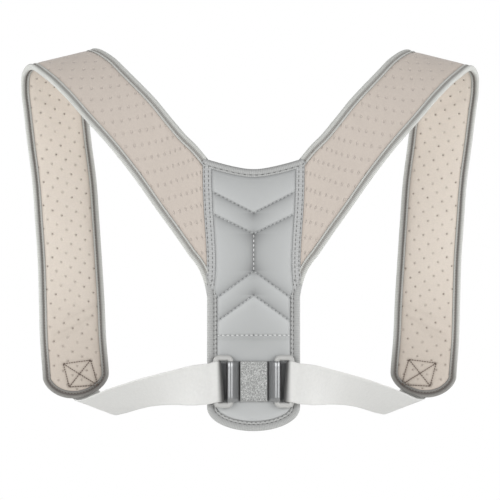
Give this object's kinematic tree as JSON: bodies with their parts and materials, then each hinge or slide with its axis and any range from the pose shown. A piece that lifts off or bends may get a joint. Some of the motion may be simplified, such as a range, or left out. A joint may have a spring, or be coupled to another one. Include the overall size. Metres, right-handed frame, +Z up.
{
  "type": "posture corrector",
  "caption": "Worn harness for the upper back: quilted panel over the spine, padded straps arching over the shoulders and elastic straps running back through frame buckles.",
  "frame": {"origin": "between the shoulders, level with the underside of the tops of the two shoulder arches, where it is held up", "axes": "+X to the right seen from behind the wearer, +Y the way the wearer faces, +Z up"},
  "size_m": [0.4748, 0.1526, 0.3821],
  "materials": {
    "panel_foam": "knit-faced foam, matte",
    "facing": "quilted, soft satin",
    "binding": "folded knit tape, matte",
    "strap_laminate": "perforated suede-like foam laminate",
    "buckle": "moulded, satin",
    "loop_band": "smooth coated band, glossy",
    "patch": "napped",
    "elastic": "fine woven elastic, matte",
    "hook_tape": "hook tape, matte"
  },
  "bodies": {
    "root": {"back_panel": "panel_foam", "quilted_facing": "facing", "neckline_binding": "binding", "panel_binding": "binding", "strap_binding_left": "binding", "strap_binding_right": "binding", "seam_tape_left": "binding", "seam_tape_right": "binding", "shoulder_strap_left": "strap_laminate", "shoulder_strap_right": "strap_laminate", "ring_left": "buckle", "ring_right": "buckle", "ring_loop_left": "loop_band", "ring_loop_right": "loop_band", "centre_patch": "patch", "elastic_strap_left": "elastic", "elastic_strap_right": "elastic", "hook_tab_left": "hook_tape", "hook_tab_right": "hook_tape"}
  },
  "joints": []
}
